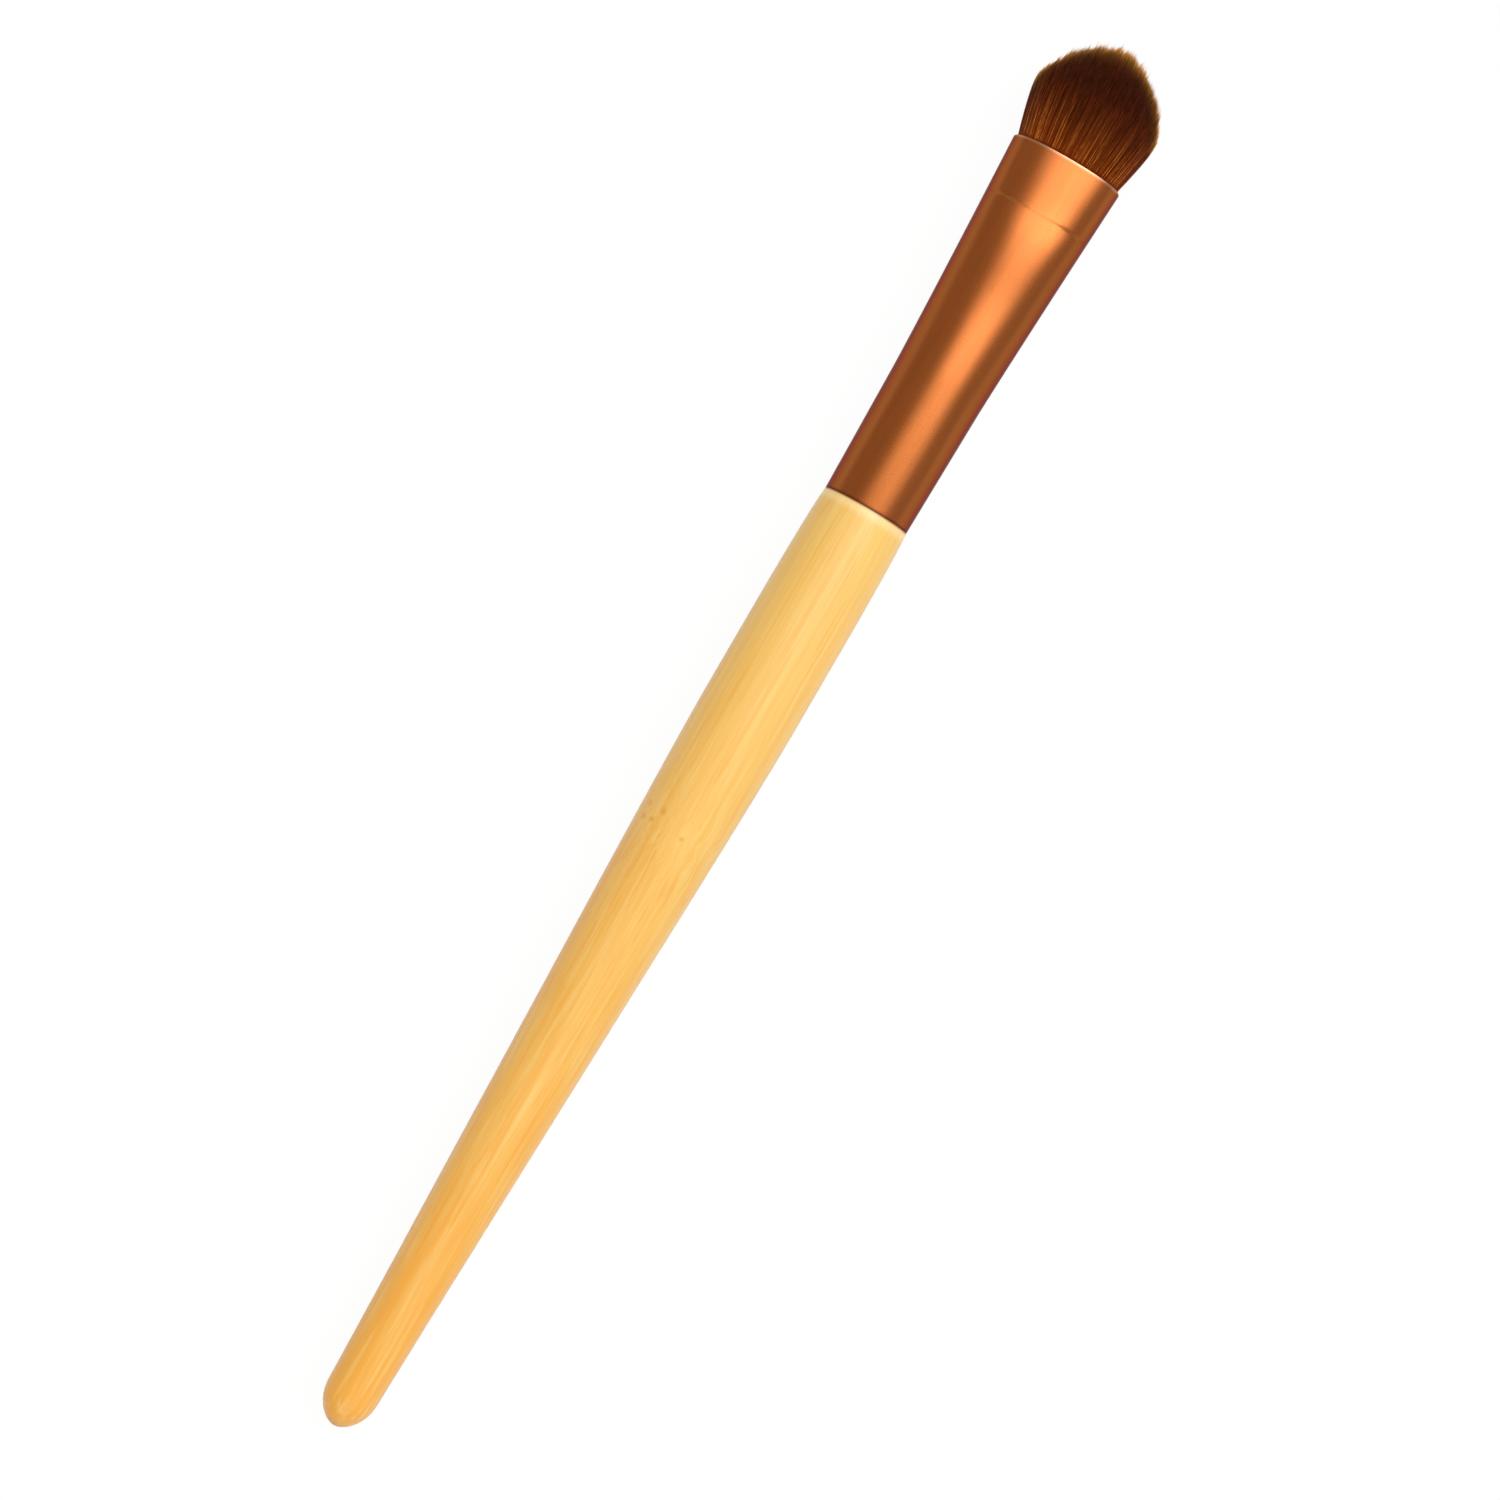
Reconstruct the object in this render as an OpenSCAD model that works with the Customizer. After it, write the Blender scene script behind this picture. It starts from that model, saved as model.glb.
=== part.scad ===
// Flat eyeshadow brush: a turned bamboo handle, a pressed metal ferrule and a domed fibre tuft.
// It lies along X with the tuft's tip at +X and the wide side of the mouth facing up. Millimetres.

/* [Handle] */
// Length of bamboo that shows, from the butt to the ferrule
handle_l = 106.6; // [100:0.2:130]
// Length of the rounded end of the butt
butt_l = 4; // [3:0.1:6]
// Radius where the butt's rounding ends
butt_r = 2.83; // [2.4:0.01:3.4]
// Distance from the butt to the widest stretch
belly_at = 84; // [70:0.5:88]
// Length of the widest stretch, which is parallel
belly_l = 10; // [4:0.5:12]
// Radius of the widest stretch
belly_r = 5; // [4.9:0.05:6]
// Length of the tenon that enters the ferrule
tenon_l = 14; // [10:0.5:18]
// Chamfer on the tenon's end
tenon_chamfer = 0.6; // [0.3:0.1:1]

/* [Ferrule] */
// Length of the metal tube
ferrule_l = 40.2; // [36:0.2:48]
// Outer radius at the round end, where the handle meets it flush
ferrule_r = 4.7; // [4.4:0.05:4.85]
// How much more radius the round tube has at its other end before it is pressed
ferrule_swell = 0.72; // [0.4:0.02:0.9]
// Thickness of the metal
ferrule_wall = 0.35; // [0.25:0.05:0.5]
// Outer width of the oval mouth
mouth_w = 12.22; // [11.6:0.02:13.4]
// Outer thickness of the oval mouth
mouth_t = 8.4; // [7.8:0.1:9]
// How much squarer than an ellipse the mouth is, as an exponent
mouth_square = 2.4; // [2:0.1:2.6]
// Length behind the mouth that the jaws pressed
press_l = 6.3; // [5:0.1:8]
// Length of the crease at the end of the pressed stretch
crease_l = 0.7; // [0.5:0.1:1]
// Height of the ridge that the jaws raised behind the crease
ridge_h = 0.26; // [0.1:0.02:0.3]
// Length over which the ridge rises
ridge_rise_l = 8; // [5:0.5:9]
// Length over which the ridge falls again to the crease
ridge_fall_l = 3.2; // [2:0.1:4]
// How much squarer the metal is right behind the crease, as an exponent
ridge_square = 0.24; // [0:0.02:0.3]
// Bevel on the two cut edges
edge_bevel = 0.08; // [0.04:0.01:0.12]

/* [Tuft] */
// How far the fibres stand out of the mouth
tuft_l = 13.2; // [11:0.2:17]
// Width of the tuft at its shoulders
tuft_w = 13.9; // [13:0.1:15]
// Thickness of the tuft at its shoulders
tuft_t = 8.2; // [7.8:0.1:9]
// Height of the shoulders above the mouth
shoulder_h = 6; // [5:0.1:8]
// How far the tip leans to one side
lean = 0.4; // [0:0.1:0.8]
// How much shorter than the dome the shortest fibres are
uneven = 0.35; // [0:0.05:0.6]
// Length of the packed roots inside the ferrule
root_l = 12; // [8:0.5:14]
// Depth below the mouth at which the fibres come apart
part_depth = 0.1; // [0.05:0.05:0.15]
// Clearance between the packed roots and the metal
root_gap = 0.05; // [0.05:0.01:0.1]
// Spacing of the strands across the width of the mouth
strand_step_w = 0.41; // [0.38:0.01:0.42]
// Spacing of the strands through the thickness of the mouth
strand_step_t = 0.67; // [0.62:0.01:0.7]

/* [Glue] */
// Thickness of the glue round the tenon at the ferrule's end
glue_t = 0.12; // [0.08:0.01:0.2]
// Distance that the glue stays back from both ends of the tenon
glue_back = 0.5; // [0.3:0.1:1]
// Length of the glue plug behind the roots
plug_l = 6; // [4:0.5:7]
// Clearance between cured glue and what it fills
glue_gap = 0.02; // [0.01:0.01:0.04]

/* [Hidden] */

// Control points of the handle's curves: share of the length, share of the change in radius
butt_shares = [[0, 0], [0, 0.34], [0.35, 1], [1, 1]];
grip_shares = [[0, 0], [0.4, 0.38], [0.85, 0.99], [1, 1]];
neck_shares = [[0, 0], [0.5, 0.1], [0.9, 0.35], [1, 1]];
butt_steps = 12;
grip_steps = 24;
neck_steps = 10;

// Facets round the ferrule and rings along its stretches, from the tenon to the mouth
round_steps = 80;
taper_steps = 9;
fall_steps = 4;
crease_steps = 4;
press_steps = 3;
plug_steps = 3;
glue_steps = 5;
// How the width and the thickness change from round to the mouth
width_power = 1.25;
thickness_power = 1.15;
square_power = 2.4;
// Share of its height that the ridge loses before the crease, where the rest goes
ridge_fall_share = 0.75;

// Strand to gap ratio across the tuft, and the curves of its sides and dome
strand_ratio = 3.6;
side_power = 1.5;
dome_powers = [1.45, 0.6];
// Height of a strand's first ring as a share of the shoulders, then of its second as a share of the rest
ring_shares = [0.3, 0.92];
// Size of the two rings as shares of the strand's root
ring_size_shares = [1, 0.9];
// Step to one side that each row, and each column, takes from the next, as a share of the strand
stagger_shares = [0.62, 0.12];
// Turns between neighbours in the pattern that makes the lengths uneven
uneven_turns = [137, 71];
// Points of one strand above its root: two rings of four corners and the tip
points_each = 9;

strands_wide = round((mouth_w - 2 * ferrule_wall - 2 * root_gap) / strand_step_w);
strands_thick = round((mouth_t - 2 * ferrule_wall - 2 * root_gap) / strand_step_t);

total_l = handle_l + ferrule_l + tuft_l;
tenon_r = ferrule_r - ferrule_wall - glue_t;
crease_at = ferrule_l - press_l;
ridge_at = crease_at - ridge_fall_l;
plug_top = ferrule_l - root_l;

// Point of a cubic curve through four control points
function curve(p, t) =
    pow(1 - t, 3) * p[0] + 3 * pow(1 - t, 2) * t * p[1] + 3 * (1 - t) * pow(t, 2) * p[2] + pow(t, 3) * p[3];

// One stretch of the handle's outline, from radius and place a to radius and place b
function stretch(shares, a, b, steps) = [
    for (k = [1 : steps])
        let (c = curve(shares, k / steps))
        [a[0] + (b[0] - a[0]) * c[1], a[1] + (b[1] - a[1]) * c[0]]
];

// Section of the ferrule at a distance s from its round end: round along the tenon, then ever flatter
function blank_r(s) = ferrule_r + ferrule_swell * s / ferrule_l;
function flatness(s) = max(0, (s - tenon_l) / (ferrule_l - tenon_l));
function eased(t) = let (u = max(0, min(1, t))) u * u * (3 - 2 * u);
// 1 behind the crease and 0 beyond it
function behind(s) = 1 - eased((s - crease_at) / crease_l + 1 / 2);
// Height of the ridge as a share: it rises slowly, falls faster and ends at the crease
function ridge(s) =
    let (falling = max(0, (s - ridge_at) / ridge_fall_l))
    eased((s - ridge_at) / ridge_rise_l + 1) * (1 - ridge_fall_share * pow(falling, 2)) * behind(s);
function half_w(s) =
    blank_r(s) + (mouth_w / 2 - blank_r(ferrule_l)) * pow(flatness(s), width_power);
function plain_half_t(s) =
    blank_r(s) + (mouth_t / 2 - blank_r(ferrule_l)) * pow(flatness(s), thickness_power);
function half_t(s) = plain_half_t(s) + ridge_h * ridge(s);
function squareness(s) =
    2 + (mouth_square - 2) * pow(flatness(s), square_power)
    + ridge_square * eased((s - crease_at) / ridge_rise_l + 1) * behind(s);
function bent(x, n) = sign(x) * pow(abs(x), 2 / n);

// Ring of points round the ferrule's section, moved in from the outer surface
function section(s, inset) = [
    for (k = [0 : round_steps - 1])
        let (q = 360 * k / round_steps, n = squareness(s))
        [(half_t(s) - inset) * bent(cos(q), n), (half_w(s) - inset) * bent(sin(q), n), s]
];
// Ring of flats that just clears a round bar
function clear_ring(s, r) = [
    for (k = [0 : round_steps - 1])
        let (q = 360 * k / round_steps, c = r / cos(180 / round_steps))
        [c * cos(q), c * sin(q), s]
];

function flat_list(rings) = [for (ring = rings) each ring];
function wall_faces(low, high) = [
    for (k = [0 : round_steps - 1])
        let (m = (k + 1) % round_steps)
        each [
            [low * round_steps + k, high * round_steps + k, high * round_steps + m],
            [low * round_steps + k, high * round_steps + m, low * round_steps + m]
        ]
];

// Closed tube from rings that run up the outside and back down the inside
module ring_tube(rings) {
    count = len(rings);
    polyhedron(
        points = flat_list(rings),
        faces = [for (r = [0 : count - 1]) each wall_faces(r, (r + 1) % count)],
        convexity = 6
    );
}

// Closed bar from rings that run from its low end to its high end
module ring_bar(rings) {
    count = len(rings);
    low = count * round_steps;
    high = low + 1;
    last = (count - 1) * round_steps;
    polyhedron(
        points = concat(flat_list(rings), [[0, 0, rings[0][0][2]], [0, 0, rings[count - 1][0][2]]]),
        faces = concat(
            [for (r = [0 : count - 2]) each wall_faces(r, r + 1)],
            [for (k = [0 : round_steps - 1]) [low, k, (k + 1) % round_steps]],
            [for (k = [0 : round_steps - 1]) [high, last + (k + 1) % round_steps, last + k]]
        ),
        convexity = 4
    );
}

// Lays the brush down: what stands along Z here lies along X, on its widest stretch
module lay() {
    translate([-total_l / 2, 0, belly_r]) rotate([0, 90, 0]) children();
}
// The same, measured from the ferrule's round end
module lay_head() {
    lay() translate([0, 0, handle_l]) children();
}

module handle() {
    outline = concat(
        [[0, 0]],
        stretch(butt_shares, [0, 0], [butt_r, butt_l], butt_steps),
        stretch(grip_shares, [butt_r, butt_l], [belly_r, belly_at], grip_steps),
        [[belly_r, belly_at + belly_l]],
        stretch(neck_shares, [belly_r, belly_at + belly_l], [ferrule_r, handle_l], neck_steps),
        [
            [tenon_r, handle_l],
            [tenon_r, handle_l + tenon_l - tenon_chamfer],
            [tenon_r - tenon_chamfer, handle_l + tenon_l],
            [0, handle_l + tenon_l]
        ]
    );
    color([0.93, 0.76, 0.45])
        lay() rotate_extrude($fn = 96) polygon(outline);
}

// Distances along the ferrule at which its section is drawn
tube_places = concat(
    [edge_bevel],
    [for (k = [0 : taper_steps - 1]) tenon_l + (ridge_at - tenon_l) * k / taper_steps],
    [for (k = [0 : fall_steps - 1]) ridge_at + (ridge_fall_l - crease_l / 2) * k / fall_steps],
    [for (k = [0 : crease_steps]) crease_at + crease_l * (k / crease_steps - 1 / 2)],
    [
        for (k = [1 : press_steps])
            crease_at + crease_l / 2 + (press_l - crease_l / 2 - edge_bevel) * k / press_steps
    ]
);
module ferrule() {
    last = len(tube_places) - 1;
    color([0.72, 0.42, 0.22])
        lay_head() ring_tube(concat(
            [section(0, edge_bevel)],
            [for (s = tube_places) section(s, 0)],
            [section(ferrule_l, edge_bevel), section(ferrule_l, ferrule_wall)],
            [for (k = [last : -1 : 0]) section(tube_places[k], ferrule_wall)],
            [section(0, ferrule_wall)]
        ));
}

// Half thickness and half width of the packed roots, then of the tuft at a height above the mouth
function root_half(s) = [plain_half_t(s) - ferrule_wall - root_gap, half_w(s) - ferrule_wall - root_gap];
function side_share(h) = 1 - pow(1 - max(0, min(1, h / shoulder_h)), side_power);
function tuft_half(h) =
    let (
        root = root_half(ferrule_l + min(0, h)),
        shoulders = [tuft_t / 2 / last_line(strands_thick), tuft_w / 2 / last_line(strands_wide)]
    )
    root + (shoulders - root) * side_share(h);

// Lines of the strand grid run from -1 to 1, with a gap before and after each strand
function grid_line(k, count) =
    -1 + 2 * (ceil(k / 2) + strand_ratio * floor(k / 2)) / (count + 1 + strand_ratio * count);
// Line on the outside of the last strand
function last_line(count) = grid_line(2 * count, count);
// Square grid drawn into a round one, then into the ferrule's squarer oval at a distance s
function in_round(u, v) = [v * sqrt(1 - u * u / 2), u * sqrt(1 - v * v / 2)];
function in_oval(p, s) =
    let (q = atan2(p[1], p[0]), n = squareness(s))
    p / pow(pow(abs(cos(q)), n) + pow(abs(sin(q)), n), 1 / n);
function at_height(p, h) =
    let (m = in_oval(p, ferrule_l + min(0, h)), half = tuft_half(h))
    [m[0] * half[0], m[1] * half[1] + lean * max(0, h) / tuft_l, ferrule_l + h];

lines_w = 2 * strands_wide + 1;
lines_t = 2 * strands_thick + 1;
function grid_point(i, j) = in_round(grid_line(i, strands_wide), grid_line(j, strands_thick));
function grid_index(i, j) = i * (lines_t + 1) + j;
// Corners round the grid's edge, turning left
edge_walk = concat(
    [for (j = [0 : lines_t - 1]) [0, j]],
    [for (i = [0 : lines_w - 1]) [i, lines_t]],
    [for (j = [lines_t : -1 : 1]) [lines_w, j]],
    [for (i = [lines_w : -1 : 1]) [i, 0]]
);

function dome_h(p) =
    shoulder_h + (tuft_l - shoulder_h) * pow(1 - pow(min(1, norm(p)), dome_powers[0]), dome_powers[1]);
function cell(a, b) = [
    grid_point(2 * a + 1, 2 * b + 1),
    grid_point(2 * a + 1, 2 * b + 2),
    grid_point(2 * a + 2, 2 * b + 2),
    grid_point(2 * a + 2, 2 * b + 1)
];
function strand_h(p, a, b) =
    dome_h(p) - uneven * (1 + sin(a * uneven_turns[0] + b * uneven_turns[1])) / 2;
// Corners of a strand above the mouth, stepped aside so that no gap runs straight through the tuft
function stepped_cell(a, b) =
    let (
        c = cell(a, b),
        row_step = (c[3] - c[0]) * stagger_shares[0] * (b % 2 - 1 / 2),
        column_step = (c[1] - c[0]) * stagger_shares[1] * (a % 2 - 1 / 2)
    )
    [for (p = c) p + row_step + column_step];
// Two rings of four corners and the tip
function strand_points(a, b) =
    let (
        corners = stepped_cell(a, b),
        mid = (corners[0] + corners[1] + corners[2] + corners[3]) / 4,
        top = strand_h(mid, a, b),
        first = shoulder_h * ring_shares[0],
        heights = [first, first + (top - first) * ring_shares[1]]
    )
    concat(
        [for (r = [0, 1]) for (c = corners) at_height(mid + (c - mid) * ring_size_shares[r], heights[r])],
        [at_height(mid, top)]
    );

module bristle_tuft() {
    edge_count = len(edge_walk);
    grid_count = (lines_w + 1) * (lines_t + 1);
    centre = grid_count + edge_count;
    bottom = [
        for (e = edge_walk)
            let (m = grid_point(e[0], e[1]), half = root_half(plug_top))
            [m[0] * half[0], m[1] * half[1], plug_top]
    ];
    points = concat(
        [for (i = [0 : lines_w]) for (j = [0 : lines_t]) at_height(grid_point(i, j), -part_depth)],
        bottom,
        [[0, 0, plug_top]],
        [for (a = [0 : strands_wide - 1]) for (b = [0 : strands_thick - 1]) each strand_points(a, b)]
    );
    gap_faces = [
        for (i = [0 : lines_w - 1]) for (j = [0 : lines_t - 1])
            if (i % 2 == 0 || j % 2 == 0)
                each [
                    [grid_index(i, j), grid_index(i + 1, j), grid_index(i + 1, j + 1)],
                    [grid_index(i, j), grid_index(i + 1, j + 1), grid_index(i, j + 1)]
                ]
    ];
    side_faces = [
        for (k = [0 : edge_count - 1])
            let (
                m = (k + 1) % edge_count,
                up = grid_index(edge_walk[k][0], edge_walk[k][1]),
                up_next = grid_index(edge_walk[m][0], edge_walk[m][1])
            )
            each [
                [grid_count + k, up, up_next],
                [grid_count + k, up_next, grid_count + m],
                [centre, grid_count + k, grid_count + m]
            ]
    ];
    strand_faces = [
        for (a = [0 : strands_wide - 1]) for (b = [0 : strands_thick - 1])
            let (
                first = centre + 1 + points_each * (a * strands_thick + b),
                root = [
                    grid_index(2 * a + 1, 2 * b + 1),
                    grid_index(2 * a + 1, 2 * b + 2),
                    grid_index(2 * a + 2, 2 * b + 2),
                    grid_index(2 * a + 2, 2 * b + 1)
                ],
                low = [for (k = [0 : 3]) first + k],
                high = [for (k = [0 : 3]) first + 4 + k],
                tip = first + points_each - 1
            )
            for (k = [0 : 3])
                let (m = (k + 1) % 4)
                each [
                    [root[k], low[k], low[m]],
                    [root[k], low[m], root[m]],
                    [low[k], high[k], high[m]],
                    [low[k], high[m], low[m]],
                    [high[k], tip, high[m]]
                ]
    ];
    color([0.36, 0.17, 0.07])
        lay_head() polyhedron(
            points = points,
            faces = concat(gap_faces, side_faces, strand_faces),
            convexity = 20
        );
}

// Cured glue behind the roots, from wall to wall
module root_plug() {
    color([0.85, 0.72, 0.35])
        lay_head() ring_bar([
            for (k = [0 : plug_steps])
                section(plug_top - plug_l + plug_l * k / plug_steps, ferrule_wall + glue_gap)
        ]);
}

// Thin sleeve of glue between the tenon and the ferrule
module handle_glue() {
    glue_l = tenon_l - tenon_chamfer - 2 * glue_back;
    places = [for (k = [0 : glue_steps]) glue_back + glue_l * k / glue_steps];
    color([0.95, 0.9, 0.75])
        lay_head() ring_tube(concat(
            [for (s = places) section(s, ferrule_wall + glue_gap)],
            [for (k = [glue_steps : -1 : 0]) clear_ring(places[k], tenon_r + glue_gap)]
        ));
}

handle();
ferrule();
bristle_tuft();
root_plug();
handle_glue();
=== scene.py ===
import math

import bpy
import numpy as np
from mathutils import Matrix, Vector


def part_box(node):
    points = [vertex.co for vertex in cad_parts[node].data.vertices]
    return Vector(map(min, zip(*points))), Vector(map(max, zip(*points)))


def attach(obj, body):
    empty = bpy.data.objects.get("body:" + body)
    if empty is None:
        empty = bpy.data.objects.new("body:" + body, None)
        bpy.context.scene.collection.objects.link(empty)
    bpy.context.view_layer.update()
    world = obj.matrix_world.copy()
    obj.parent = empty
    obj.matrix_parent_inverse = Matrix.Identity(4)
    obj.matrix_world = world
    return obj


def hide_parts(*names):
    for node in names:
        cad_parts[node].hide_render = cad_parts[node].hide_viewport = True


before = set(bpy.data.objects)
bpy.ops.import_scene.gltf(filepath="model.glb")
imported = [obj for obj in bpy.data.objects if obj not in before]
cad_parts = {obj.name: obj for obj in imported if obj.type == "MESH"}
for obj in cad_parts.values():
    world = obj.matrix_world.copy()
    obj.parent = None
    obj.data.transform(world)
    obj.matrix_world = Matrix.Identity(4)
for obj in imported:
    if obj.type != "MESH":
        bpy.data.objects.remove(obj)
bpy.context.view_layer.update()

MM = 0.001

# Places along the brush, which lies along X with its axis above the floor
handle_low, handle_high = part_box("handle")
ferrule_low, ferrule_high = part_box("ferrule")
BUTT_X = handle_low.x
NODE_X = BUTT_X + 69 * MM
JOINT_X = ferrule_low.x
MOUTH_X = ferrule_high.x
CREASE_X = MOUTH_X - 6.37 * MM
ROOT_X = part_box("bristle_tuft")[0].x
AXIS_Z = (handle_low.z + handle_high.z) / 2

# The photograph looks straight down, from beside the middle of the brush
PHOTO_SIDE_PX = 1500
PX_PER_MM = 9.92
CAMERA_PLACE = (-0.1 * MM, -2.05 * MM)
CAMERA_ABOVE_AXIS = 315 * MM
CAMERA_TURN_DEG = -59.8
SENSOR_MM = 36
NEAREST_SEEN = 10 * MM

# Light: an even sky with two soft windows in it, the weaker one towards the butt.
# Each window is given by the four angles at which it begins, is full, is full still and ends.
# The sky's colour changes with its direction: across from right to left, and along at both ends.
SKY_LEFT = (0.61, 0.54, 0.435, 1)
SKY_RIGHT = (0.62, 0.59, 0.55, 1)
SKY_BUTT_END = (0.60, 0.56, 0.50, 1)
SKY_TUFT_END = (0.38, 0.36, 0.33, 1)
RIGHT_TO_LEFT = (-0.5, 0.5)
BUTT_END = (-0.75, -0.35)
TUFT_END = (0.4, 0.8)
WINDOW_ACROSS_DEG = (-31, 8, 24, 62)
WINDOW_ALONG_DEG = (-2, 18, 38, 54)
WINDOW_LEVEL = 5.1
SECOND_ALONG_DEG = (-62, -50, -36, -24)
SECOND_LEVEL = 1.5

# In the materials, a GRAIN is the size of a noise's features along the brush and across it,
# a SWING how far the noise moves a value in all, a FROM the noise's values between which a mark
# appears, and a SHARE the mark's strength at the most
NOISE_RANGE = (0.3, 0.7)
SPECULAR_LEVEL = 0.3

# Floor, which is white to the eye
FLOOR_SIZE = 20
FLOOR_GRAIN = (0.4, 0.4)
FLOOR_ROUGH = (0.0, 0.2)
FLOOR_WHITE = (0.88, 0.88, 0.88, 1)
GLOW_WHITE = (1, 1, 1, 1)
GLOW_SHARE = 0.95

# Bamboo's colours
BAMBOO_DEEP = (0.69, 0.321, 0.0425, 1)
BAMBOO_PALE = (0.71, 0.483, 0.138, 1)
BAMBOO_STREAK = (0.72, 0.51, 0.178, 1)
BAMBOO_LINE = (0.65, 0.31, 0.042, 1)
BAMBOO_FLECK = (0.65, 0.30, 0.042, 1)
BAMBOO_SPECK = (0.56, 0.22, 0.015, 1)
# Painted highlight on the rounded shoulder beside the ferrule
BAMBOO_SHOULDER_HIGHLIGHT = (0.80, 0.64, 0.34, 1)
# Dark line in the joint: glue, and painted shade under the ferrule's edge
BAMBOO_GLUE_AND_SHADE = (0.20, 0.075, 0.02, 1)
BAMBOO_BUTT = (0.52, 0.21, 0.026, 1)

# Bamboo's grain
PALE_AT_BUTT = 0.05
PALE_AT_JOINT = 0.78
PALE_AT_NODE = 0.12
BROAD_GRAIN = (42 * MM, 1.5 * MM)
BROAD_SWING = 0.85
FINE_GRAIN = (26 * MM, 0.36 * MM)
FINE_SWING = 0.9
STREAK_GRAIN = (16 * MM, 0.6 * MM)
STREAK_FROM = (0.5, 0.72)
STREAK_SHARE = 0.5
LINE_GRAIN = (8 * MM, 0.22 * MM)
LINE_FROM = (0.54, 0.74)
LINE_SHARE = 0.38

# Bamboo's node. The specks are given by their place along the brush, their place round the handle
# as an arc from its top, and their radius, in millimetres.
NODE_REACH = 3.2 * MM
NODE_R = 4.8 * MM
WANDER_GRAIN = (3 * MM, 1.4 * MM)
WANDER_REACH = 3 * NODE_REACH
WANDER_SWING = 1.3 * MM
FLECK_X = NODE_X - 5 * MM
FLECK_REACH = 10 * MM
FLECK_GRAIN = (4.5 * MM, 0.3 * MM)
FLECK_FROM = (0.54, 0.72)
FLECK_SHARE = 0.45
SPECKS = [
    (-9.6, 4.7, 0.55),
    (-9.7, 2.5, 0.6),
    (-11.1, 4.6, 0.6),
    (-11.0, 3.3, 0.5),
    (-11.2, -0.6, 0.4),
]
SPECK_SHARE = 0.5
RAGGED_GRAIN = (0.5 * MM, 0.4 * MM)
RAGGED_SWING = 0.5 * MM

# Bamboo's ends and lacquer
# The shoulder's pale band is a painted highlight
SHOULDER_X = JOINT_X - 0.5 * MM
SHOULDER_REACH = 0.9 * MM
SHOULDER_HIGHLIGHT_SHARE = 0.5
# The dark line at the joint is glue and painted shade
GLUE_AND_SHADE_X = (JOINT_X - 0.22 * MM, JOINT_X - 0.05 * MM)
GLUE_AND_SHADE_SHARE = 0.85
BUTT_REACH = 1.2 * MM
BUTT_SHARE = 0.85
BAMBOO_ROUGH = (0.46, 0.56)
BAMBOO_COAT = 0.45
BAMBOO_COAT_ROUGH = 0.25
BAMBOO_BUMP = 0.02 * MM
FINE_BUMP_SHARE = 0.6

# Metal
METAL_DEEP = (0.335, 0.0945, 0.0195, 1)
METAL_PALE = (0.355, 0.1015, 0.0222, 1)
# Rubbed cut edge at the mouth, with a painted highlight of its rounding
METAL_RIM_WEAR_AND_HIGHLIGHT = (0.50, 0.27, 0.16, 1)
# Painted highlight at the crease
METAL_CREASE_HIGHLIGHT = (0.62, 0.20, 0.05, 1)
# Dark line at the handle's edge: glue and painted shade
METAL_JOINT_GLUE_AND_SHADE = (0.12, 0.022, 0.005, 1)
METAL_GRAZING = (0.32, 0.19, 0.06, 1)
BLAST_GRAIN = (0.11 * MM, 0.11 * MM)
DRAWN_GRAIN = (9 * MM, 0.7 * MM)
RIM_X = (MOUTH_X - 0.4 * MM, MOUTH_X - 0.08 * MM)
RIM_SHARE = 0.9
CREASE_REACH = 0.35 * MM
CREASE_SIDE = 3 * MM
CREASE_SIDE_REACH = 1.9 * MM
CREASE_HIGHLIGHT_SHARE = 0.8
METAL_JOINT_X = (JOINT_X + 0.04 * MM, JOINT_X + 0.4 * MM)
METAL_JOINT_SHARE = 0.7
METAL_ROUGH = (0.27, 0.33)
METAL_COAT = 0.2
METAL_COAT_ROUGH = 0.22
METAL_BUMP = 0.004 * MM

# Fibres: their darkest and palest colours at the mouth and further out, where they are darker by painted
# shade, and what is painted on them
MOUTH_DARK = (0.075, 0.0092, 0.0010, 1)
MOUTH_PALE = (0.35, 0.069, 0.0070, 1)
FAR_DARK = (0.0130, 0.0020, 0.0010, 1)
FAR_PALE = (0.085, 0.0127, 0.0044, 1)
FIBRE_STRAND = (0.60, 0.25, 0.04, 1)
# Dark red painted shade on the fibres at the mouth's edge
FIBRE_ROOT_SHADE = (0.14, 0.008, 0.003, 1)
# Painted golden glow of light shining through the thin tips
FIBRE_TIP_GLOW = (0.95, 0.44, 0.065, 1)
FIBRE_SHEEN = (0.85, 0.27, 0.05, 1)
PATCH_GRAIN = (1.5 * MM, 0.14 * MM)
PATCH_SWING = 1.0
FADE_X = (MOUTH_X, MOUTH_X + 8 * MM)
STRAND_TONE = (0.82, 1.0)
STRAND_X = (MOUTH_X + 1 * MM, MOUTH_X + 6 * MM)
STRAND_SHARE = 0.4
ROOT_SHADE_X = (MOUTH_X + 0.05 * MM, MOUTH_X + 0.45 * MM)
ROOT_SHADE_SHARE = 0.85
FIBRE_ROUGH = (0.55, 0.4)

# Epoxy and glue, each with its deeper and its paler colour
EPOXY = ((0.55, 0.30, 0.07, 1), (0.78, 0.52, 0.16, 1))
EPOXY_GRAIN = (1.2 * MM, 1.2 * MM)
EPOXY_ROUGH = (0.12, 0.25)
EPOXY_BUMP = 0.05 * MM
GLUE = ((0.82, 0.72, 0.48, 1), (0.93, 0.87, 0.68, 1))
GLUE_GRAIN = (0.8 * MM, 0.5 * MM)
GLUE_ROUGH = (0.45, 0.6)
GLUE_BUMP = 0.02 * MM

# Smoothing of faceted solids
WELD = 0.001 * MM
SMOOTH_BELOW_DEG = 25

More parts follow.
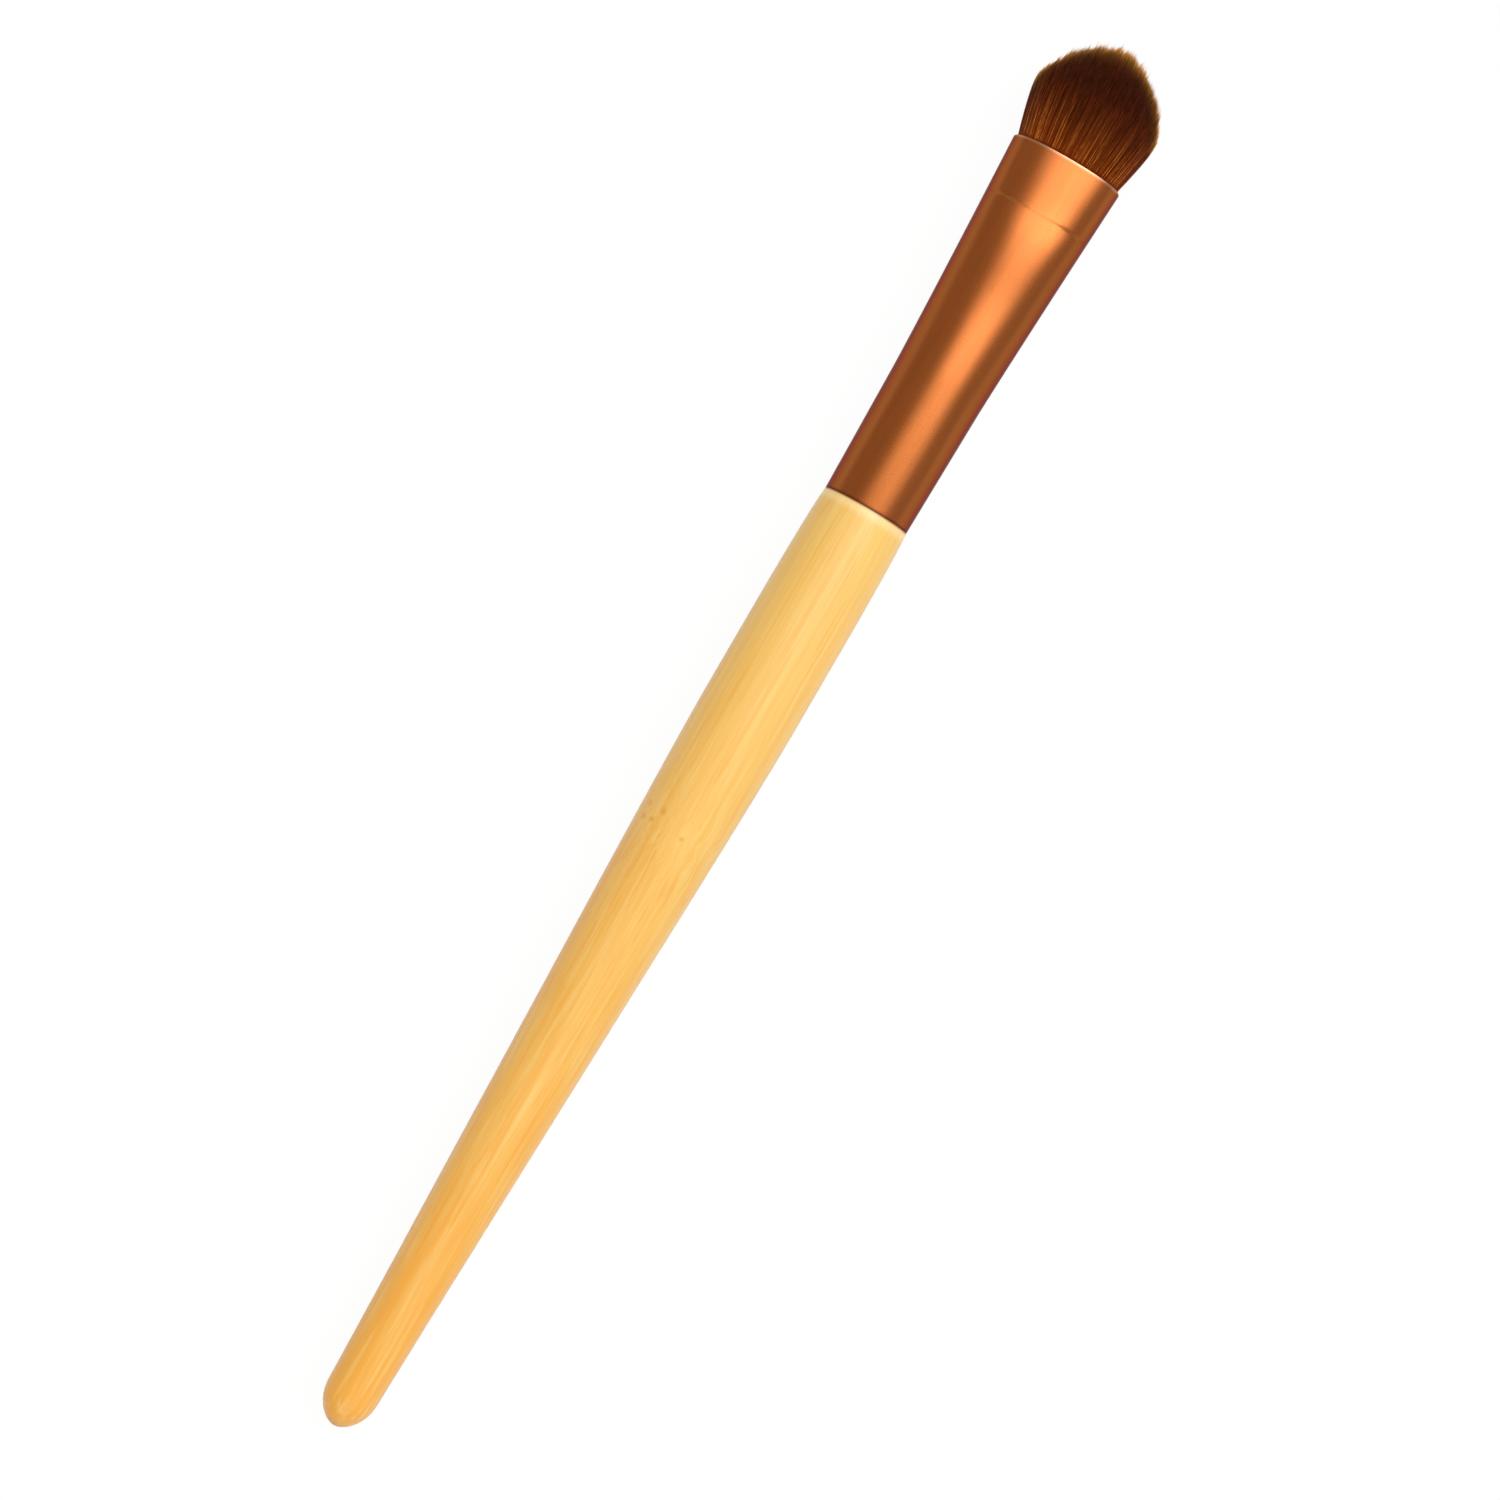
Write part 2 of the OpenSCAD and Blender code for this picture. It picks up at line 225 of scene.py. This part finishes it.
# Tuft's shape, in millimetres. A SQUARE is the power of an oval, which is squarer the higher it is.
ROOT_SQUARE = 2
MOUTH_SQUARE = 2.4
PART_DEPTH = 0.1
SLICE = 0.02
TUFT_L = 13.2
SHOULDER_H = 6
SHOULDER_HALF = (7.0, 4.15)
SIDE_POWER = 1.3
DOME_POWERS = (1.37, 0.6)
LEAN = 0.4

# Tuft's fibres, which stand in clumps and locks. Lengths are in millimetres, and places and moves
# across the tuft are in a disc of radius 1, which is then drawn into the tuft's oval.
SEED = 11
GOLDEN_ANGLE = math.pi * (3 - math.sqrt(5))
FIBRES = 10500
CLUMPS = 3500
LOCKS = 500
JITTER = 0.8
FIBRE_R = 0.043
TIP_L = 1.3
TIP_SHARE = 0.45
TIP_R = 0.027
OUTER_FROM = 0.88
OUTER_SIDES = 4
OUTER_SHARES = (0.12, 0.32, 0.55, 0.78, 1.0)
INNER_SIDES = 3
INNER_SHARES = (0.5, 1.0)
CLUMP_PULL = 0.24
CLUMP_POWER = 2
WANDER = 0.012
WANDER_POWER = 1.5
UNEVEN = (0.5, 0.4, 0.45)
UNEVEN_POWER = 4
CLUMP_TONE = 0.4
TONE_CONTRAST = 1.5
TIP_GLOW_WITHIN = 0.28
TIP_GLOW_LOW = 0.6
MAP_MARGIN = 0.1


# Material nodes
class Tree:
    """A material's or a world's nodes, each added by a short call."""

    def __init__(self, owner, shader="Principled BSDF"):
        owner.use_nodes = True
        self.owner = owner
        self.nodes = owner.node_tree.nodes
        self.links = owner.node_tree.links
        self.shader = self.nodes[shader]

    def add(self, kind, inputs, **settings):
        node = self.nodes.new(kind)
        for name, value in settings.items():
            setattr(node, name, value)
        for name, value in inputs.items():
            self.put(node.inputs[name], value)
        return node

    def put(self, socket, value):
        """Links another node's output to the socket, or sets the socket's own value."""
        if isinstance(value, bpy.types.NodeSocket):
            self.links.new(value, socket)
        else:
            socket.default_value = value

    def set(self, **values):
        """Sets the shader's inputs, with an underscore for each space in their names."""
        for name, value in values.items():
            self.put(self.shader.inputs[name.replace("_", " ")], value)

    def place(self):
        return self.add("ShaderNodeTexCoord", {}).outputs["Object"]

    def parts(self, vector):
        return self.add("ShaderNodeSeparateXYZ", {0: vector}).outputs

    def attribute(self, name):
        return self.add("ShaderNodeAttribute", {}, attribute_name=name).outputs["Fac"]

    def math(self, operation, a, b=0.0):
        return self.add("ShaderNodeMath", {0: a, 1: b}, operation=operation).outputs[0]

    def vector(self, operation, a, b):
        return self.add("ShaderNodeVectorMath", {0: a, 1: b}, operation=operation).outputs[0]

    def clamp(self, value):
        return self.add("ShaderNodeClamp", {"Value": value}).outputs[0]

    def spread(self, value, low, high, to_low=0.0, to_high=1.0, kind="SMOOTHSTEP"):
        """Goes from to_low to to_high while the value goes from low to high."""
        inputs = {"Value": value, "From Min": low, "From Max": high, "To Min": to_low, "To Max": to_high}
        return self.add("ShaderNodeMapRange", inputs, interpolation_type=kind).outputs[0]

    def bell(self, value, middle, reach):
        """1 at the middle, falling to 0 at the reach on both sides."""
        away = self.math("ABSOLUTE", self.math("SUBTRACT", value, middle))
        return self.spread(away, 0.0, reach, 1.0, 0.0)

    def noise(self, place, grain, detail=2.0, shift=0.0):
        """Noise with features of the grain's lengths along X and across it."""
        along, across = grain
        scale = (1 / along, 1 / across, 1 / across)
        scaled = self.vector("ADD", self.vector("MULTIPLY", place, scale), (shift, shift, shift))
        return self.add("ShaderNodeTexNoise", {"Vector": scaled, "Scale": 1.0, "Detail": detail}).outputs[0]

    def about_zero(self, noise, swing):
        """A noise, which runs from 0 to 1, as a value that swings evenly to both sides of 0."""
        return self.math("MULTIPLY", self.math("SUBTRACT", noise, 0.5), swing)

    def mix(self, share, a, b):
        node = self.add("ShaderNodeMix", {0: share}, data_type="RGBA")
        self.put(node.inputs[6], a)
        self.put(node.inputs[7], b)
        return node.outputs[2]

    def bump(self, height, distance):
        return self.add("ShaderNodeBump", {"Height": height, "Distance": distance}).outputs[0]


def bamboo():
    t = Tree(bpy.data.materials.new("bamboo_satin_lacquer"))
    place = t.place()
    x, y, z = t.parts(place)

    # The fibres wander where the cane's node was
    wander = t.about_zero(t.noise(place, WANDER_GRAIN, shift=3.0), WANDER_SWING)
    push = t.math("MULTIPLY", wander, t.bell(x, NODE_X, WANDER_REACH))
    sideways = t.add("ShaderNodeCombineXYZ", {"Y": push, "Z": push}).outputs[0]
    grown = t.vector("ADD", place, sideways)

    broad = t.noise(grown, BROAD_GRAIN, detail=3.0)
    fine = t.noise(grown, FINE_GRAIN, shift=7.0)
    lines = t.noise(grown, LINE_GRAIN, shift=13.0)
    streaks = t.noise(grown, STREAK_GRAIN, shift=27.0)
    flecks = t.noise(grown, FLECK_GRAIN, detail=1.0, shift=21.0)

    # How pale it is: paler towards the ferrule and at the node, streaked all along
    pale = t.spread(x, BUTT_X, JOINT_X, PALE_AT_BUTT, PALE_AT_JOINT, kind="LINEAR")
    pale = t.math("ADD", pale, t.about_zero(broad, BROAD_SWING))
    pale = t.math("ADD", pale, t.about_zero(fine, FINE_SWING))
    pale = t.math("ADD", pale, t.math("MULTIPLY", t.bell(x, NODE_X, NODE_REACH), PALE_AT_NODE))
    colour = t.mix(t.clamp(pale), BAMBOO_DEEP, BAMBOO_PALE)
    streak = t.spread(streaks, *STREAK_FROM, 0.0, STREAK_SHARE)
    colour = t.mix(streak, colour, BAMBOO_STREAK)

    # Darker vascular lines, and flecks beside the node
    line = t.spread(lines, *LINE_FROM, 0.0, LINE_SHARE)
    colour = t.mix(line, colour, BAMBOO_LINE)
    beside = t.bell(x, FLECK_X, FLECK_REACH)
    fleck = t.math("MULTIPLY", t.spread(flecks, *FLECK_FROM, 0.0, FLECK_SHARE), beside)
    colour = t.mix(fleck, colour, BAMBOO_FLECK)

    # Small dark specks left by the node, with ragged edges
    ragged = t.about_zero(t.noise(place, RAGGED_GRAIN, shift=31.0), RAGGED_SWING)
    above = t.math("SUBTRACT", z, AXIS_Z)
    around = t.math("MULTIPLY", t.math("ARCTAN2", y, above), NODE_R)
    unrolled = t.add("ShaderNodeCombineXYZ", {"X": x, "Y": around}).outputs[0]
    for speck_x, speck_around, speck_r in SPECKS:
        centre = (speck_x * MM, speck_around * MM, 0)
        apart = t.add("ShaderNodeVectorMath", {0: unrolled, 1: centre}, operation="DISTANCE")
        away = t.math("ADD", apart.outputs["Value"], ragged)
        speck = t.spread(away, 0.0, speck_r * MM, SPECK_SHARE, 0.0)
        colour = t.mix(speck, colour, BAMBOO_SPECK)

    # A painted highlight on the rounded shoulder, a dark line of glue and painted shade at the joint, and a
    # darker butt end
    shoulder = t.math("MULTIPLY", t.bell(x, SHOULDER_X, SHOULDER_REACH), SHOULDER_HIGHLIGHT_SHARE)
    colour = t.mix(shoulder, colour, BAMBOO_SHOULDER_HIGHLIGHT)
    # The joint's dark line is glue with painted shade
    glue_and_shade_line = t.spread(x, *GLUE_AND_SHADE_X, 0.0, GLUE_AND_SHADE_SHARE)
    colour = t.mix(glue_and_shade_line, colour, BAMBOO_GLUE_AND_SHADE)
    butt = t.spread(x, BUTT_X, BUTT_X + BUTT_REACH, BUTT_SHARE, 0.0)
    colour = t.mix(butt, colour, BAMBOO_BUTT)

    fine_height = t.math("MULTIPLY", fine, FINE_BUMP_SHARE)
    line_height = t.math("MULTIPLY", lines, 1 - FINE_BUMP_SHARE)
    t.set(
        Base_Color=colour,
        Roughness=t.spread(fine, *NOISE_RANGE, *BAMBOO_ROUGH),
        Specular_IOR_Level=SPECULAR_LEVEL,
        Coat_Weight=BAMBOO_COAT,
        Coat_Roughness=BAMBOO_COAT_ROUGH,
        Normal=t.bump(t.math("ADD", fine_height, line_height), BAMBOO_BUMP),
    )
    return t.owner


def copper_satin():
    t = Tree(bpy.data.materials.new("ferrule_satin_anodised"))
    place = t.place()
    x, y, _ = t.parts(place)
    blast = t.noise(place, BLAST_GRAIN)
    drawn = t.noise(place, DRAWN_GRAIN, shift=5.0)
    colour = t.mix(t.spread(drawn, *NOISE_RANGE), METAL_DEEP, METAL_PALE)

    # The cut edge at the mouth is rubbed bright, and a painted highlight along it stands in for the
    # reflection of its rolled rounding
    rim = t.spread(x, *RIM_X, 0.0, RIM_SHARE)
    colour = t.mix(rim, colour, METAL_RIM_WEAR_AND_HIGHLIGHT)

    # A painted highlight brightens the crease where it turns to the sides, over the dark line its step
    # reflects
    aside = t.bell(t.math("ABSOLUTE", y), CREASE_SIDE, CREASE_SIDE_REACH)
    crease = t.math("MULTIPLY", t.bell(x, CREASE_X, CREASE_REACH), aside)
    colour = t.mix(t.math("MULTIPLY", crease, CREASE_HIGHLIGHT_SHARE), colour, METAL_CREASE_HIGHLIGHT)

    # The edge at the handle holds a dark line of glue and painted shade
    joint = t.spread(x, *METAL_JOINT_X, METAL_JOINT_SHARE, 0.0)
    colour = t.mix(joint, colour, METAL_JOINT_GLUE_AND_SHADE)
    t.set(
        Base_Color=colour,
        Metallic=1.0,
        Specular_Tint=METAL_GRAZING,
        Roughness=t.spread(blast, *NOISE_RANGE, *METAL_ROUGH),
        Coat_Weight=METAL_COAT,
        Coat_Roughness=METAL_COAT_ROUGH,
        Normal=t.bump(blast, METAL_BUMP),
    )
    return t.owner


def fibre():
    t = Tree(bpy.data.materials.new("fibre_brown"))
    place = t.place()
    x = t.parts(place)[0]

    # Each fibre's own tone, broken up along its length
    patch = t.about_zero(t.noise(place, PATCH_GRAIN), PATCH_SWING)
    tone = t.clamp(t.math("ADD", t.attribute("tone"), patch))
    at_mouth = t.mix(tone, MOUTH_DARK, MOUTH_PALE)
    far_out = t.mix(tone, FAR_DARK, FAR_PALE)
    # Darker further out from the mouth: painted shade where the dome turns from the light
    outward_shade = t.spread(x, *FADE_X, 1.0, 0.0, kind="LINEAR")
    colour = t.mix(t.math("MULTIPLY", outward_shade, outward_shade), far_out, at_mouth)

    # A few golden strands show near the mouth
    near_mouth = t.spread(x, *STRAND_X, STRAND_SHARE, 0.0)
    strand = t.math("MULTIPLY", t.spread(tone, *STRAND_TONE), near_mouth)
    colour = t.mix(strand, colour, FIBRE_STRAND)

    # Dark red painted shade on the fibres just above the mouth, where they meet the ferrule's edge, and a
    # painted golden glow at the thin tips
    root_shade = t.spread(x, *ROOT_SHADE_X, ROOT_SHADE_SHARE, 0.0)
    colour = t.mix(root_shade, colour, FIBRE_ROOT_SHADE)
    # Painted glow at the tips, standing in for light that shines through them
    colour = t.mix(t.attribute("tip"), colour, FIBRE_TIP_GLOW)
    t.set(
        Base_Color=colour,
        Roughness=t.spread(tone, 0.0, 1.0, *FIBRE_ROUGH),
        Specular_IOR_Level=SPECULAR_LEVEL,
        Specular_Tint=FIBRE_SHEEN,
    )
    return t.owner


def cloudy(name, colours, grain, rough, depth):
    """A cured resin or glue whose colour, roughness and surface vary in small clouds."""
    t = Tree(bpy.data.materials.new(name))
    cloud = t.noise(t.place(), grain, detail=3.0)
    t.set(
        Base_Color=t.mix(cloud, *colours),
        Roughness=t.spread(cloud, *NOISE_RANGE, *rough),
        Normal=t.bump(cloud, depth),
    )
    return t.owner


# CAD nodes
def smooth_facets():
    """Modifier nodes that shade a faceted CAD solid smoothly, except at its edges."""
    group = bpy.data.node_groups.new("smooth_facets", "GeometryNodeTree")
    group.interface.new_socket("Geometry", in_out="INPUT", socket_type="NodeSocketGeometry")
    group.interface.new_socket("Geometry", in_out="OUTPUT", socket_type="NodeSocketGeometry")
    nodes = group.nodes
    links = group.links
    start = nodes.new("NodeGroupInput")
    plain = nodes.new("GeometryNodeRemoveAttribute")
    plain.inputs["Name"].default_value = "custom_normal"
    weld = nodes.new("GeometryNodeMergeByDistance")
    weld.inputs["Distance"].default_value = WELD
    faces = nodes.new("GeometryNodeSetShadeSmooth")
    angle = nodes.new("GeometryNodeInputMeshEdgeAngle")
    small = nodes.new("FunctionNodeCompare")
    small.operation = "LESS_THAN"
    small.inputs[1].default_value = math.radians(SMOOTH_BELOW_DEG)
    edges = nodes.new("GeometryNodeSetShadeSmooth")
    edges.domain = "EDGE"
    end = nodes.new("NodeGroupOutput")
    links.new(start.outputs[0], plain.inputs[0])
    links.new(plain.outputs[0], weld.inputs[0])
    links.new(weld.outputs[0], faces.inputs[0])
    links.new(faces.outputs[0], edges.inputs[0])
    links.new(angle.outputs[0], small.inputs[0])
    links.new(small.outputs[0], edges.inputs["Shade Smooth"])
    links.new(edges.outputs[0], end.inputs[0])
    return group


def dress_cad_nodes():
    finishes = {
        "handle": bamboo(),
        "ferrule": copper_satin(),
        "root_plug": cloudy("epoxy_amber", EPOXY, EPOXY_GRAIN, EPOXY_ROUGH, EPOXY_BUMP),
        "handle_glue": cloudy("glue_off_white", GLUE, GLUE_GRAIN, GLUE_ROUGH, GLUE_BUMP),
    }
    group = smooth_facets()
    for name, material in finishes.items():
        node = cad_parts[name]
        node.material_slots[0].material = material
        node.modifiers.new("smooth_facets", "NODES").node_group = group


# Tuft
def cad_half(node, x):
    """Half width and half thickness, in millimetres, of a CAD node at a place along the brush."""
    points = np.array([v.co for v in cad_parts[node].data.vertices])
    near = points[np.abs(points[:, 0] - x) < SLICE * MM]
    return np.array([np.abs(near[:, 1]).max(), np.abs(near[:, 2] - AXIS_Z).max()]) / MM


def even_points(count):
    """Points spread evenly over a disc of radius 1."""
    k = np.arange(count) + 0.5
    radius = np.sqrt(k / count)
    return np.stack([radius * np.cos(k * GOLDEN_ANGLE), radius * np.sin(k * GOLDEN_ANGLE)], 1)


def inside(points):
    """Points pulled back into the disc where they left it."""
    return points / np.maximum(1, np.linalg.norm(points, axis=1, keepdims=True))


def in_oval(points, power):
    """A round disc's points drawn into an oval, which is squarer the higher the power."""
    angle = np.arctan2(points[:, 1], points[:, 0])
    size = (np.abs(np.cos(angle)) ** power + np.abs(np.sin(angle)) ** power) ** (1 / power)
    return points / size[:, None]


def dome_height(points):
    """Height of the dome above the mouth over each of the disc's points."""
    reach = np.minimum(1, np.linalg.norm(points, axis=1))
    return SHOULDER_H + (TUFT_L - SHOULDER_H) * (1 - reach ** DOME_POWERS[0]) ** DOME_POWERS[1]


def half_at(height, root, mouth):
    """Half width and half thickness of the tuft at each height above the mouth."""
    share = 1 - (1 - np.clip(height / SHOULDER_H, 0, 1)) ** SIDE_POWER
    above = mouth + (np.array(SHOULDER_HALF) - FIBRE_R - mouth) * share[:, None]
    return np.where(height[:, None] < -PART_DEPTH, root, above)


def scattered(count, rng):
    """Points spread over the disc, each moved a little by chance."""
    return inside(even_points(count) + rng.normal(0, JITTER / math.sqrt(count), (count, 2)))


def uneven(many, reach, rng):
    """Lengths that differ by chance round 0, where most are a little short and a few are long."""
    return reach * (rng.uniform(0, 1, many) ** UNEVEN_POWER - 1 / (UNEVEN_POWER + 1))


def nearest(points, centres):
    """Index of the centre that lies nearest to each point."""
    apart = (centres**2).sum(1)[None] - 2 * points @ centres.T
    return np.argmin(apart, 1)


def grow(points, centres, tops, shares, rng):
    """Centre lines of the fibres: an array of fibre, level and place, in millimetres.

    The levels are the two ends of the root, the shares of the shaft and two of the tip.
    """
    root = cad_half("bristle_tuft", ROOT_X) - FIBRE_R
    mouth = cad_half("bristle_tuft", MOUTH_X - PART_DEPTH * MM) - FIBRE_R
    count = len(points)
    wander = rng.normal(0, WANDER, (count, 2))
    lines = []
    levels = [np.full(count, (ROOT_X - MOUTH_X) / MM), np.full(count, -PART_DEPTH)]
    levels += [(tops - TIP_L) * share for share in shares] + [tops - TIP_L * TIP_SHARE, tops]
    for height in levels:
        rise = np.clip(height / tops, 0, 1)[:, None]
        pulled = (centres - points) * CLUMP_PULL * rise**CLUMP_POWER
        moved = points + pulled + wander * rise**WANDER_POWER
        square = MOUTH_SQUARE if lines else ROOT_SQUARE
        across = in_oval(inside(moved), square) * half_at(height, root, mouth)
        along = MOUTH_X / MM + height
        lean = LEAN * np.maximum(height, 0) / TUFT_L
        lines.append(np.stack([along, across[:, 0] + lean, across[:, 1] + AXIS_Z / MM], 1))
    return np.stack(lines, 1)


def fibre_faces(rings, sides):
    """One fibre's faces: the corners of each, and the places of its corners in a map of side 1."""
    faces = [list(range(sides - 1, -1, -1))]
    maps = [[(k / sides, 0) for k in range(sides - 1, -1, -1)]]
    for ring in range(rings):
        bottom = ring / rings
        top = (ring + 1) / rings
        for k in range(sides):
            left = k / sides
            right = (k + 1) / sides
            low = ring * sides + k
            low_next = ring * sides + (k + 1) % sides
            if ring < rings - 1:
                faces.append([low, low_next, low_next + sides, low + sides])
                maps.append([(left, bottom), (right, bottom), (right, top), (left, top)])
            else:
                faces.append([low, low_next, rings * sides])
                maps.append([(left, bottom), (right, bottom), ((k + 0.5) / sides, 1)])
    return faces, maps


def fibre_mesh(name, lines, radii, tones, tips, sides, rng):
    """Thin tapered fibres round their centre lines, with a closed root and a pointed tip."""
    count, levels, _ = lines.shape
    rings = levels - 1
    start = rng.uniform(0, 2 * math.pi, count)
    angles = start[:, None] + 2 * math.pi * np.arange(sides) / sides
    spokes = np.stack([np.zeros_like(angles), np.cos(angles), np.sin(angles)], 2)
    rounds = lines[:, :-1, None] + spokes[:, None] * radii[None, :-1, None, None]
    places = np.concatenate([rounds.reshape(count, rings * sides, 3), lines[:, -1:]], 1)
    each = rings * sides + 1

    faces, maps = fibre_faces(rings, sides)
    corners = np.array([c for face in faces for c in face])
    starts = np.cumsum([0] + [len(face) for face in faces[:-1]])
    spots = np.array([m for face in maps for m in face])
    all_corners = corners + each * np.arange(count)[:, None]
    all_starts = starts + len(corners) * np.arange(count)[:, None]

    mesh = bpy.data.meshes.new(name)
    mesh.vertices.add(count * each)
    mesh.vertices.foreach_set("co", (places * MM).astype(np.float32).ravel())
    mesh.loops.add(count * len(corners))
    mesh.loops.foreach_set("vertex_index", all_corners.astype(np.int32).ravel())
    mesh.polygons.add(count * len(faces))
    mesh.polygons.foreach_set("loop_start", all_starts.astype(np.int32).ravel())
    mesh.update(calc_edges=True)
    mesh.polygons.foreach_set("use_smooth", np.ones(count * len(faces), bool))

    # Each fibre has a cell of its own in the map
    columns = math.ceil(math.sqrt(count))
    cell = np.stack([np.arange(count) % columns, np.arange(count) // columns], 1)
    uv = (cell[:, None] + MAP_MARGIN + (1 - 2 * MAP_MARGIN) * spots[None]) / columns
    mesh.uv_layers.new(name="OFBake").data.foreach_set("uv", uv.astype(np.float32).ravel())

    point_tips = np.concatenate([np.repeat(tips[:, :-1], sides, 1), tips[:, -1:]], 1)
    by_point = {"tone": np.repeat(tones, each), "tip": point_tips.ravel()}
    for attribute, values in by_point.items():
        data = mesh.attributes.new(attribute, "FLOAT", "POINT").data
        data.foreach_set("value", values.astype(np.float32))
    piece = bpy.data.objects.new(name, mesh)
    bpy.context.scene.collection.objects.link(piece)
    return piece


def make_tuft():
    rng = np.random.default_rng(SEED)
    points = scattered(FIBRES, rng)
    centres = scattered(CLUMPS, rng)
    clump = nearest(points, centres)

    # Fibres of a clump share some of their tone and, like locks of clumps, some of their length
    clump_tones = rng.uniform(0, 1, CLUMPS)[clump]
    tones = CLUMP_TONE * clump_tones + (1 - CLUMP_TONE) * rng.uniform(0, 1, FIBRES)
    tones = np.clip(0.5 + TONE_CONTRAST * (tones - 0.5), 0, 1)
    lock = nearest(points, scattered(LOCKS, rng))
    tops = dome_height(points)
    for reach, many, kin in zip(UNEVEN, (LOCKS, CLUMPS, FIBRES), (lock, clump, np.arange(FIBRES))):
        tops += uneven(many, reach, rng)[kin]

    # Only the fibres near the middle of the thickness, which make the fringe, get the painted golden glow
    # of light shining through their thin tips
    tip_glow = np.exp(-((points[:, 1] / TIP_GLOW_WITHIN) ** 2))
    material = fibre()
    outer = np.linalg.norm(points, axis=1) > OUTER_FROM
    upper = points[:, 1] > 0
    kinds = {
        "tuft_fibres_outer": (outer, OUTER_SIDES, OUTER_SHARES),
        "tuft_fibres_upper": (~outer & upper, INNER_SIDES, INNER_SHARES),
        "tuft_fibres_lower": (~outer & ~upper, INNER_SIDES, INNER_SHARES),
    }
    for name, (chosen, sides, shares) in kinds.items():
        lines = grow(points[chosen], centres[clump[chosen]], tops[chosen], shares, rng)
        shaft = 2 + len(shares)
        radii = np.array([FIBRE_R] * shaft + [TIP_R, 0])
        tips = tip_glow[chosen, None] * np.array([0] * shaft + [TIP_GLOW_LOW, 1])
        piece = fibre_mesh(name, lines, radii, tones[chosen], tips, sides, rng)
        piece.data.materials.append(material)
        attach(piece, "root")
        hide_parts("bristle_tuft")


# Studio
def make_camera():
    camera = bpy.data.objects.new("camera", bpy.data.cameras.new("camera"))
    camera.location = (*CAMERA_PLACE, AXIS_Z + CAMERA_ABOVE_AXIS)
    camera.rotation_euler = (0, 0, math.radians(CAMERA_TURN_DEG))
    camera.data.sensor_width = SENSOR_MM
    camera.data.lens = SENSOR_MM * CAMERA_ABOVE_AXIS / (PHOTO_SIDE_PX / PX_PER_MM * MM)
    camera.data.clip_start = NEAREST_SEEN
    camera.data.clip_end = 2 * FLOOR_SIZE
    bpy.context.scene.collection.objects.link(camera)
    bpy.context.scene.camera = camera


def make_sky():
    """A soft sky with two windows to the -Y side, one towards the tuft and one towards the butt."""
    t = Tree(bpy.data.worlds.new("sky"), "Background")
    bpy.context.scene.world = t.owner
    x, y, z = t.parts(t.add("ShaderNodeTexCoord", {}).outputs["Generated"])
    across = t.math("ARCTAN2", t.math("MULTIPLY", y, -1.0), z)
    along = t.math("ARCTAN2", x, z)

    def between(angle, edges, level=1.0):
        begins, full, full_still, ends = (math.radians(edge) for edge in edges)
        rising = t.spread(angle, begins, full, 0.0, level)
        return t.math("MULTIPLY", rising, t.spread(angle, full_still, ends, 1.0, 0.0))

    main = between(along, WINDOW_ALONG_DEG, WINDOW_LEVEL)
    second = between(along, SECOND_ALONG_DEG, SECOND_LEVEL)
    light = t.math("MULTIPLY", between(across, WINDOW_ACROSS_DEG), t.math("ADD", main, second))
    white = t.add("ShaderNodeCombineXYZ", {"X": light, "Y": light, "Z": light}).outputs[0]
    even = t.mix(t.spread(y, *RIGHT_TO_LEFT), SKY_RIGHT, SKY_LEFT)
    even = t.mix(t.spread(x, *BUTT_END, 1.0, 0.0), even, SKY_BUTT_END)
    even = t.mix(t.spread(x, *TUFT_END), even, SKY_TUFT_END)
    t.put(t.shader.inputs["Color"], t.vector("ADD", even, white))


def floor_white():
    """White to the eye and in reflections, with a faint shadow, and plain and pale to all other light."""
    t = Tree(bpy.data.materials.new("floor_white"))
    t.nodes.remove(t.shader)
    path = t.add("ShaderNodeLightPath", {})
    seen = t.math("MAXIMUM", path.outputs["Is Camera Ray"], path.outputs["Is Glossy Ray"])
    seen = t.math("MAXIMUM", seen, path.outputs["Is Transmission Ray"])
    rough = t.spread(t.noise(t.place(), FLOOR_GRAIN), *NOISE_RANGE, *FLOOR_ROUGH)
    plain = t.add("ShaderNodeBsdfDiffuse", {"Color": FLOOR_WHITE, "Roughness": rough})
    glow = t.add("ShaderNodeEmission", {"Color": GLOW_WHITE, "Strength": 1.0})
    share = t.math("MULTIPLY", seen, GLOW_SHARE)
    mixed = t.add("ShaderNodeMixShader", {0: share, 1: plain.outputs[0], 2: glow.outputs[0]})
    t.links.new(mixed.outputs[0], t.nodes["Material Output"].inputs["Surface"])
    return t.owner


def make_floor():
    mesh = bpy.data.meshes.new("floor")
    far = FLOOR_SIZE / 2
    corners = [(-far, -far, 0), (far, -far, 0), (far, far, 0), (-far, far, 0)]
    mesh.from_pydata(corners, [], [(0, 1, 2, 3)])
    mesh.materials.append(floor_white())
    floor = bpy.data.objects.new("floor", mesh)
    bpy.context.scene.collection.objects.link(floor)


make_camera()
make_sky()
make_floor()
dress_cad_nodes()
make_tuft()
bpy.context.scene.view_settings.view_transform = "Standard"
